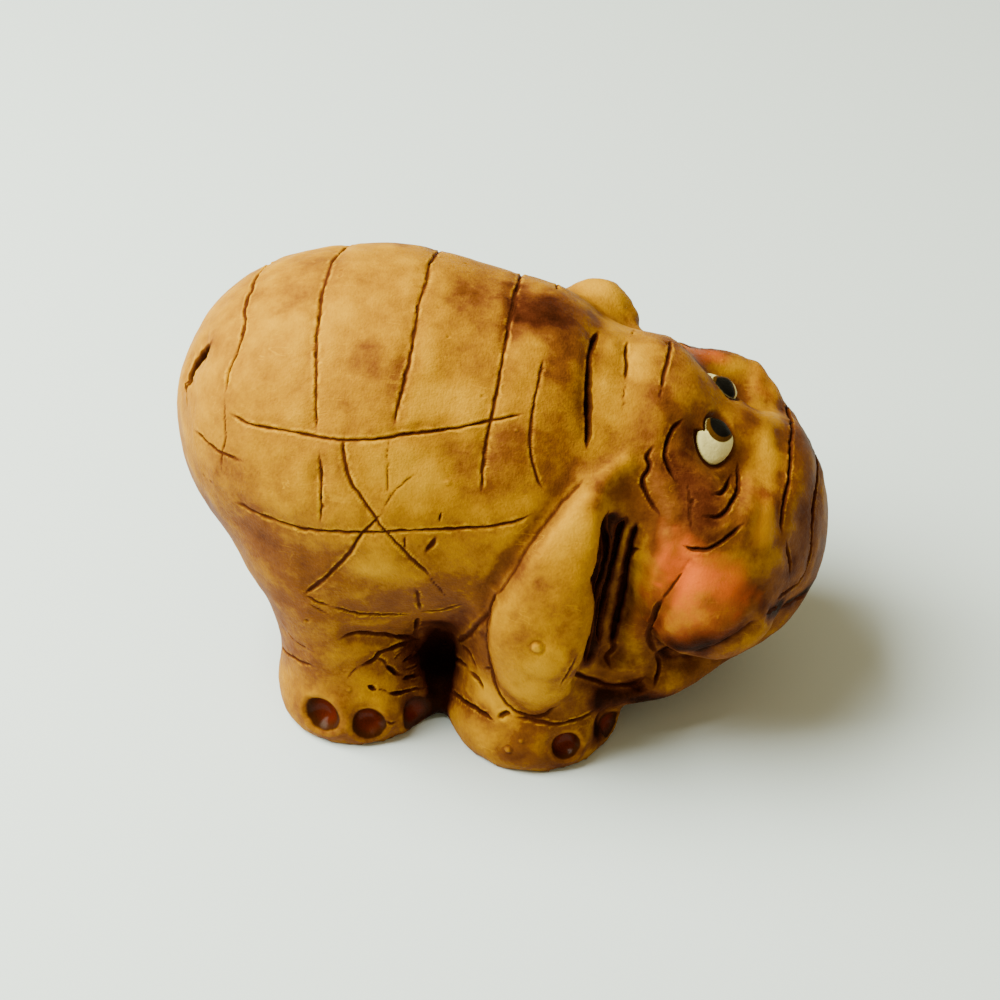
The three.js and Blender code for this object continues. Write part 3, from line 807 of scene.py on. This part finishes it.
    def carve(self) -> None:
        """Cuts every line into the skin, raises its burrs and keeps where the stain lies, with the
        painted shade of the deepest cuts and the burrs' lips that are painted paler as a highlight.
        """
        places = self.places()
        cut, sink, swell, burr, ink = self.blank(5)
        for number, (tool, line) in enumerate(self.lines):
            reach = max(tool.valley, 1.3 * tool.width)
            close, gap, along, length = beside(places, line, reach)
            if not len(close):
                continue
            ends = np.minimum(along, length - along)
            fade = smooth(ends, -0.05, min(0.9, 0.35 * length))
            steady = np.column_stack((along, np.full_like(along, ASIDE * number), 0 * along))
            wander = grain(steady, WANDER, number) + 0.5 * grain(steady, QUIVER, number + 20)
            shake = 0.3 if tool.burr else 0.08
            width = tool.width * (1 + shake * wander) * (0.5 + 0.5 * fade)
            depth = tool.depth * (1 + 0.45 * grain(steady, DIG, number + 40)) * fade
            ratio = gap / (width / 2)
            cut[close] = np.minimum(cut[close], -depth * bowl(ratio, 1.5))
            lip = bell(ratio, LIP_PLACE, LIP_WIDTH)
            rough = np.clip(0.55 + 0.9 * grain(places[close], TEAR, number), 0, 1.3)
            burr[close] = np.maximum(burr[close], tool.burr * lip * rough * fade)
            if tool.valley:
                dip = -tool.sink * bowl(gap / tool.valley, 2) * fade
                sink[close] = np.minimum(sink[close], dip)
                swell[close] = np.maximum(swell[close], dip)
            dark = tool.stain_and_shade * np.clip(1.6 - 0.8 * ratio, 0, 1.6) * (0.35 + 0.65 * fade)
            ink[close] = np.maximum(ink[close], dark)
        self.lift(cut + sink + swell + burr * (1 - smooth(-cut, 0.0, 0.08)))
        # How dark each cut is left: stain, and painted shade in the deepest cuts.
        self.store("ink", ink)
        # Where the burrs stand, kept to be painted paler: a painted highlight on the lit lips of the
        # cuts.
        self.store("lip", np.clip(burr / 0.06, 0, 1) * (1 - smooth(ink, 0.3, 0.8)))

    def press_spots(self) -> None:
        """Presses in the toe hollows and raises the casting's beads."""
        skin = Surface(self.piece)
        rise, pit = self.blank(2)
        for toe in TOES:
            for gap in self.gaps(skin, toe.pixel):
                ratio = gap / toe.radius
                rise -= toe.size * bowl(ratio, 1.2)
                rise += TOE_RIM * bell(ratio, 1.22, 0.2)
                pit = np.maximum(pit, np.clip(2 - ratio, 0, 2))
        for bead in BEADS:
            for gap in self.gaps(skin, bead.pixel):
                ratio = gap / bead.radius
                dome = np.exp(-((ratio / 0.68) ** 4))
                rise += bead.size * (dome - 0.25 * bell(ratio, 1.15, 0.25))
        self.lift(rise)
        self.store("pit", pit)

    def gaps(self, skin: Surface, pixel: Pixel) -> list[Array]:
        """Returns every vertex's distance from a spot that a pixel shows, and from its mirror."""
        places = self.places()
        return [np.linalg.norm(places - np.array(p), axis=1) for p in skin.both(self.view, pixel)]

    def set_eyes(self) -> None:
        """Swells the eyeballs inside their sunken rims and keeps each vertex's place on the eye."""
        skin = Surface(self.piece)
        places, eye = self.places(), self.eye
        middle, pupil, iris = (skin.seen(self.view, p) for p in (eye.middle, eye.pupil, eye.iris))
        normal = skin.tree.find_nearest(middle)[1]
        right = self.view.axes()[0]
        across = (right - normal * right.dot(normal)).normalized()
        up = normal.cross(across)
        rise = self.blank(1)[0]
        keep = dict.fromkeys(("ball", "iris", "pupil"), np.full(len(places), BEYOND))
        for side in (1, -1):
            mirror = np.array((1, side, 1))
            offset = places * mirror - np.array(middle)
            near = np.linalg.norm(offset, axis=1) < eye.outer
            u, v = offset @ np.array(across), offset @ np.array(up)
            if side < 0:
                u, v = u - eye.far_shift[0], (v - eye.far_shift[1]) / eye.far_squint
            to_iris, to_pupil = (
                np.hypot(u - (spot - middle).dot(across), v - (spot - middle).dot(up))
                for spot in (iris, pupil)
            )
            ball = np.hypot(u / eye.half_width, v / eye.half_height)
            ball = np.maximum(ball, 1 + 2.5 * np.minimum(v - eye.lid, to_iris - eye.iris_radius))
            swell = eye.swell * np.sqrt(np.clip(1 - ball**2, 0, 1))
            rise += np.where(near, swell - eye.rim * bell(ball, 1.1, 0.13), 0)
            ratios = (ball, to_iris / eye.iris_radius, to_pupil / eye.pupil_radius)
            for name, ratio in zip(keep, ratios):
                keep[name] = np.where(near, np.minimum(keep[name], ratio), keep[name])
        self.lift(rise)
        for name, values in keep.items():
            self.store(name, values)

    def antique_and_shade(self) -> None:
        """Keeps how dark the colouring lies, brown stain and painted shade together: -1 pale, 0 ochre,
        1 sienna, 2 umber and 3 black. It is thin on the back, and darker low down, on the face, on
        undersides and in folds, where both stain and painted shade lie; ridges are paler, with stain
        worn off and a painted highlight. The patches add both as well."""
        skin = Surface(self.piece)
        places, normals = self.places(), self.normals()
        x, z = places[:, 0], places[:, 2]
        age = self.age
        # Darker low down and towards the face: stain, and painted shade where the lamp's light falls
        # off.
        tone = np.maximum(age.thinnest + rising(z, age.low_down), rising(x, age.face))
        # Faces turned down darker: painted shade, with stain.
        tone += rising(-normals[:, 2], age.underside)
        tone += rising(x, age.trunk) * rising(z, age.trunk_tip)
        # Sheltered skin and folds darker: stain, and painted shade where little light reaches.
        shelter = self.recall("open")
        tone += rising(shelter, age.sheltered) + rising(shelter, age.folded)
        height = self.relief()
        # Hollows darker with stain and painted shade; ridges paler with wear and a painted highlight.
        tone += rising(-height, age.hollow) + rising(height, age.worn)
        self.store("tone", tone + self.spread(skin, STAIN_AND_SHADE))
        self.store("blush", self.spread(skin, BLUSHES))

    def spread(self, skin: Surface, patches: tuple[Patch, ...]) -> Array:
        """Returns what ragged patches, on both sides of the figure, add up to at each vertex.

        Args:
            skin: the skin that the patches are laid on.
            patches: the patches.
        """
        places = self.places()
        ragged = 1 + 0.5 * grain(places, 1.9, 21) + 0.3 * grain(places, 0.7, 22)
        total = np.zeros(len(places))
        for patch in patches:
            spots = [skin.both(self.view, pixel) for pixel in trace(patch.points, STAIN_STEP)]
            for side in list(zip(*[spot for spot in spots if spot]))[: 1 + patch.far]:
                line = np.array([tuple(place) for place in side])
                gap = to_line(places, np.vstack((line[0] + 0.001, line)))[0]
                total += patch.strength * smooth(gap * ragged / patch.reach, 1.0, 0.05)
        return total

    def weather(self) -> None:
        """Gives the skin the slight unevenness of a thing modelled by hand, and its flat soles."""
        places, normals = self.places(), self.normals()
        rise = sum(height * grain(places, size, seed) for height, size, seed in self.swells)
        places += normals * rise[:, None]
        places[:, 2] = np.maximum(places[:, 2], 0.0)
        low, high = (np.array(corner) / MM for corner in CAD_BOX)
        self.put(np.clip(places, low, high))

    def finish(self, material: Material) -> None:
        """Brings the piece to metres, shades it smooth and hands it to the frame.

        Args:
            material: the casting's finish.
        """
        self.mesh.transform(Matrix.Scale(MM, 4))
        self.mesh.materials.append(material)
        self.select_only()
        bpy.ops.object.shade_smooth()
        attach(self.piece, "root")
        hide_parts("elephant")
        triangles = sum(len(p.vertices) - 2 for p in self.mesh.polygons)
        LOG.info("%s: %d triangles", FIGURE, triangles)

    def build(self, node: Object, material: Material) -> None:
        """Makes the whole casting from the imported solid.

        Args:
            node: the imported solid.
            material: the casting's finish.
        """
        self.start(node)
        self.mark_openness()
        self.lay_lines()
        self.refine()
        self.carve()
        self.press_spots()
        self.set_eyes()
        self.weather()
        self.antique_and_shade()
        self.finish(material)


Number = Union["Wire", float]


class Wire:
    """A number on its way through a material's nodes: sums on it add Math nodes."""

    def __init__(self, bench: "Bench", socket: NodeSocket) -> None:
        """Wraps an output socket."""
        self.bench = bench
        self.socket = socket

    def _sum(self, operation: str, first: Number, second: Number) -> "Wire":
        """Returns the result of a Math node on two numbers."""
        made = self.bench.node("ShaderNodeMath", {"operation": operation}, {0: first, 1: second})
        return Wire(self.bench, made.outputs[0])

    def __add__(self, other: Number) -> "Wire":
        """Adds."""
        return self._sum("ADD", self, other)

    __radd__ = __add__

    def __mul__(self, other: Number) -> "Wire":
        """Multiplies."""
        return self._sum("MULTIPLY", self, other)

    __rmul__ = __mul__

    def __sub__(self, other: Number) -> "Wire":
        """Takes away."""
        return self._sum("SUBTRACT", self, other)

    def __rsub__(self, other: Number) -> "Wire":
        """Is taken away from."""
        return self._sum("SUBTRACT", other, self)

    def at_least(self, other: Number) -> "Wire":
        """Returns the larger."""
        return self._sum("MAXIMUM", self, other)

    def within(self, low: float, high: float) -> "Wire":
        """Returns the number held between two limits."""
        return self._sum("MINIMUM", self.at_least(low), high)

    def step(self, low: float, high: float) -> "Wire":
        """Returns a soft step from 0 at low to 1 at high, or falling where low is the larger."""
        flip = low > high
        ends = {1: min(low, high), 2: max(low, high), 3: float(flip), 4: float(not flip)}
        settings = {"interpolation_type": "SMOOTHSTEP"}
        made = self.bench.node("ShaderNodeMapRange", settings, {0: self, **ends})
        return Wire(self.bench, made.outputs[0])


class Bench:
    """One material's nodes."""

    def __init__(self, name: str) -> None:
        """Makes an empty material with its object coordinates."""
        self.material = bpy.data.materials.new(name)
        self.material.use_nodes = True
        self.tree = self.material.node_tree
        self.tree.nodes.clear()
        self.place = self.node("ShaderNodeTexCoord").outputs["Object"]

    def node(
        self, kind: str, settings: dict | None = None, sockets: dict | None = None
    ) -> Node:
        """Adds a node.

        Args:
            kind: the node's type.
            settings: its properties, set before its sockets.
            sockets: values, sockets or wires for its inputs, by name or number.

        Returns:
            The node.
        """
        made = self.tree.nodes.new(kind)
        for name, value in (settings or {}).items():
            setattr(made, name, value)
        for key, value in (sockets or {}).items():
            if isinstance(value, Wire):
                value = value.socket
            if isinstance(value, NodeSocket):
                self.tree.links.new(value, made.inputs[key])
            elif isinstance(value, tuple) and len(value) == 3 and made.inputs[key].type == "RGBA":
                made.inputs[key].default_value = (*value, 1.0)
            else:
                made.inputs[key].default_value = value
        return made

    def kept(self, name: str) -> Wire:
        """Returns a number that the mesh keeps for each vertex."""
        made = self.node("ShaderNodeAttribute", {"attribute_name": name})
        return Wire(self, made.outputs["Fac"])

    def cloud(self, size: float, detail: float, rough: float, seed: float) -> Wire:
        """Returns noise from 0 to 1.

        Args:
            size: the size of its patches in millimetres.
            detail: how many finer layers it has.
            rough: how strong those are.
            seed: tells one noise from another.
        """
        settings = {"Scale": 1 / (size * MM), "Detail": detail, "Roughness": rough}
        return self.noise({"Vector": self.place, "W": seed, **settings})

    def noise(self, sockets: dict) -> Wire:
        """Returns the number of a four-dimensional Noise node with some sockets set."""
        made = self.node("ShaderNodeTexNoise", {"noise_dimensions": "4D"}, sockets)
        return Wire(self, made.outputs["Fac"])

    def coats(self, colour: NodeSocket | Colour, *coats: tuple[Number, Colour]) -> NodeSocket:
        """Returns a colour with others laid over it in turn, each by its own share."""
        for share, coat in coats:
            sockets = {0: share, 6: colour, 7: coat}
            colour = self.node("ShaderNodeMix", {"data_type": "RGBA"}, sockets).outputs[2]
        return colour

    def shade(self, sockets: dict) -> Material:
        """Ends the material in a Principled shader with some sockets set, and returns it."""
        shader = self.node("ShaderNodeBsdfPrincipled", None, sockets)
        self.node("ShaderNodeOutputMaterial", None, {"Surface": shader.outputs[0]})
        return self.material

    def hairs(self, way: tuple[float, float, float], seed: float, thin: float = 0.012) -> Wire:
        """Returns fine, long scratches: 1 in a scratch and 0 beside it.

        Args:
            way: how the skin is turned before the scratches are laid along its first axis.
            seed: tells one set from another.
            thin: how wide a scratch is.
        """
        turned = {"Vector": self.place, "Rotation": way, "Scale": (45.0, 1100.0, 1100.0)}
        spot = self.node("ShaderNodeMapping", {"vector_type": "POINT"}, turned).outputs[0]
        level = self.noise({"Vector": spot, "W": seed, "Scale": 1.0, "Detail": 1.0}) - 0.5
        return (level * level).step(thin * thin, 0.0)


@dataclass(frozen=True)
class StainedResin:
    """Golden ochre resin under brown antique stain and painted shade, with painted highlights, painted
    eyes and blushed cheeks.

    Colours are linear, and pale, sienna, umber, maroon and pitch serve both the stain and the painted
    shade and highlights. The depths say how strongly the first three clouds move the stain."""

    pale: Colour = (0.56, 0.270, 0.001)
    ochre: Colour = (0.385, 0.167, 0.0005)
    sienna: Colour = (0.168, 0.053, 0.010)
    umber: Colour = (0.066, 0.0145, 0.005)
    # Near black: most of it is painted shade, in the leg gap, under the jaw and deep behind the ear.
    pitch: Colour = (0.012, 0.0016, 0.0006)
    maroon: Colour = (0.030, 0.0060, 0.0016)
    garnet: Colour = (0.125, 0.0110, 0.001)
    blush: Colour = (0.78, 0.125, 0.010)
    ivory: Colour = (0.78, 0.69, 0.29)
    iris: Colour = (0.07, 0.028, 0.003)
    black: Colour = (0.003, 0.003, 0.003)
    roughness: float = 0.5
    specular: float = 0.04
    refraction: float = 1.47
    sheen: Colour = (1.0, 0.55, 0.05)
    coat_roughness: float = 0.25
    broad: Cloud = (3.4, 4.0, 0.6, 1.0)
    mottle: Cloud = (1.1, 4.0, 0.6, 3.0)
    specks: Cloud = (0.3, 3.0, 0.6, 2.0)
    worn: Cloud = (2.6, 2.0, 0.5, 13.0)
    ragged: Cloud = (0.35, 2.0, 0.5, 5.0)
    smudged: Cloud = (1.3, 2.0, 0.5, 10.0)
    glazed: Cloud = (0.6, 2.0, 0.5, 6.0)
    dull: Cloud = (1.2, 4.0, 0.6, 7.0)
    pores: Cloud = (0.8, 5.0, 0.62, 8.0)
    grit: Cloud = (0.16, 2.0, 0.5, 9.0)
    depths: tuple[float, float, float] = (1.5, 1.1, 1.0)

    def body_colour(self, bench: Bench) -> NodeSocket:
        """Returns the ochre under its stain and painted shade, mottled, with the burrs' lips painted
        paler as a highlight and the blush on the cheeks.
        """
        clouds = [bench.cloud(*cloud) - 0.5 for cloud in (self.broad, self.mottle, self.specks)]
        tone = bench.kept("tone")
        for cloud, depth in zip(clouds, self.depths):
            tone = tone + cloud * depth
        # The burrs' lips painted paler as a highlight; the skin beside the cuts darker with stain, and
        # with painted shade beside the deepest cuts.
        tone = tone - bench.kept("lip") * 1.1 + bench.kept("ink").step(0.0, 0.6) * 0.45
        worn = bench.cloud(*self.worn).step(0.48, 0.7)
        tone = tone - self.scratches(bench, 4.0) * worn * 0.5
        patchy = 1 + clouds[1] * 1.2 + clouds[2] * 0.5
        share = bench.kept("blush") * (patchy - tone.at_least(0.0) * 0.15)
        return bench.coats(
            self.ochre,
            (tone.within(-1.0, 0.0) * -1, self.pale),
            (tone.within(0.0, 1.0), self.sienna),
            ((tone - 1).within(0.0, 1.0), self.umber),
            ((tone - 2).within(0.0, 1.0), self.pitch),
            (share.within(0.0, 0.85), self.blush),
        )

    def scratches(self, bench: Bench, seed: float) -> Wire:
        """Returns two sets of fine scratches that cross."""
        first = bench.hairs((0.3, 0.9, 0.5), seed)
        second = bench.hairs((0.8, -0.5, 1.9), seed + 1)
        broken = bench.cloud(0.9, 1.0, 0.5, seed + 2).step(0.5, 0.56)
        return first.at_least(second) * broken

    def stained_and_shaded(self, bench: Bench, colour: NodeSocket) -> NodeSocket:
        """Returns a colour with the stain in the cuts, painted shade in the deepest of them, and the
        toe hollows over it.
        """
        ink = bench.kept("ink") + (bench.cloud(*self.ragged) - 0.5) * 0.35
        dark = bench.cloud(*self.smudged).step(0.35, 0.65)
        pit = bench.kept("pit") + (bench.cloud(*self.glazed) - 0.5) * 0.2
        return bench.coats(
            colour,
            # Brown stain in the cuts, going to maroon and black as painted shade in the deepest cuts.
            (ink.step(0.5, 0.9) * 0.9, self.umber),
            (ink.step(1.0, 1.5) * (0.3 + 0.7 * dark), self.maroon),
            (ink.step(1.5, 2.0), self.pitch),
            (pit.step(0.95, 1.08) * 0.95, self.maroon),
            (pit.step(1.15, 1.75) * 0.8, self.garnet),
        )

    def painted(self, bench: Bench, colour: NodeSocket) -> NodeSocket:
        """Returns a colour with the painted eyes over it."""
        ball = bench.kept("ball")
        white = ball.step(1.03, 0.97)
        return bench.coats(
            colour,
            # The umber ring and the maroon rim around the eye: painted shade in its sunken rim.
            (ball.step(1.45, 1.1) * 0.5, self.umber),
            (ball.step(1.12, 1.04), self.maroon),
            (white, self.ivory),
            (white * bench.kept("iris").step(1.04, 0.96), self.iris),
            (white * bench.kept("pupil").step(1.03, 0.95), self.black),
        )

    def build(self) -> Material:
        """Makes the material and returns it."""
        bench = Bench("stained_resin")
        colour = self.painted(bench, self.stained_and_shaded(bench, self.body_colour(bench)))
        eye = bench.kept("pupil").step(1.03, 0.95) * 0.3
        glaze = eye.at_least(bench.kept("pit").step(1.0, 1.3) * 0.4)
        rough = self.roughness + (bench.cloud(*self.dull) - 0.5) * 0.22
        rough = (rough + bench.kept("ink").step(0.4, 0.9) * 0.2) * (1 - glaze * 0.6)
        skin = bench.cloud(*self.pores) * 0.55 + bench.cloud(*self.grit) * 0.45
        settings = {"Strength": 0.8, "Distance": 0.12 * MM, "Height": skin}
        sockets = {
            "Base Color": colour,
            "Roughness": rough,
            "Normal": bench.node("ShaderNodeBump", None, settings).outputs["Normal"],
            "Coat Weight": 0.35 * glaze,
            "Coat Roughness": self.coat_roughness,
            "Specular IOR Level": self.specular,
            "Specular Tint": self.sheen,
            "IOR": self.refraction,
        }
        return bench.shade(sockets)


@dataclass(frozen=True)
class PaleFloor:
    """The plain pale surface that the figurine stands on."""

    colour: Colour = (0.73, 0.83, 0.93)
    half: float = 1.5
    roughness: float = 0.85

    def build(self) -> None:
        """Makes the floor."""
        bpy.ops.object.select_all(action="DESELECT")
        bpy.ops.mesh.primitive_plane_add(size=2 * self.half, location=(0, 0, 0))
        floor = bpy.context.active_object
        floor.name = "floor"
        sockets = {"Base Color": self.colour, "Roughness": self.roughness}
        floor.data.materials.append(Bench("pale_floor").shade(sockets))


@dataclass(frozen=True)
class Studio:
    """Plain soft studio light: one broad lamp at the upper left and a warm room around. The lamp's
    angles are in degrees, its distance and side in metres and its power in watts."""

    azimuth: float = -85.0
    elevation: float = 54.0
    distance: float = 0.27
    side: float = 0.22
    power: float = 2.7
    colour: Colour = (0.98, 1.0, 0.80)
    room: Colour = (1.0, 0.84, 0.44)
    room_strength: float = 0.46

    def build(self) -> None:
        """Makes the lamp and the room's light."""
        way = toward(self.azimuth, self.elevation)
        data = bpy.data.lights.new("key", "AREA")
        data.size = self.side
        data.energy = self.power
        data.color = self.colour
        lamp = bpy.data.objects.new("key", data)
        lamp.matrix_world = way.to_track_quat("Z", "Y").to_matrix().to_4x4()
        lamp.location = way * self.distance
        bpy.context.scene.collection.objects.link(lamp)
        world = bpy.data.worlds.new("room")
        world.use_nodes = True
        background = world.node_tree.nodes["Background"]
        background.inputs["Color"].default_value = (*self.room, 1.0)
        background.inputs["Strength"].default_value = self.room_strength
        bpy.context.scene.world = world


def main() -> None:
    """Builds the camera, the figurine and the studio."""
    logging.basicConfig(level=logging.INFO, format="%(name)s: %(message)s")
    view = Viewpoint()
    view.build()
    Casting(view).build(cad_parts["elephant"], StainedResin().build())
    PaleFloor().build()
    Studio().build()


if __name__ == "__main__":
    main()
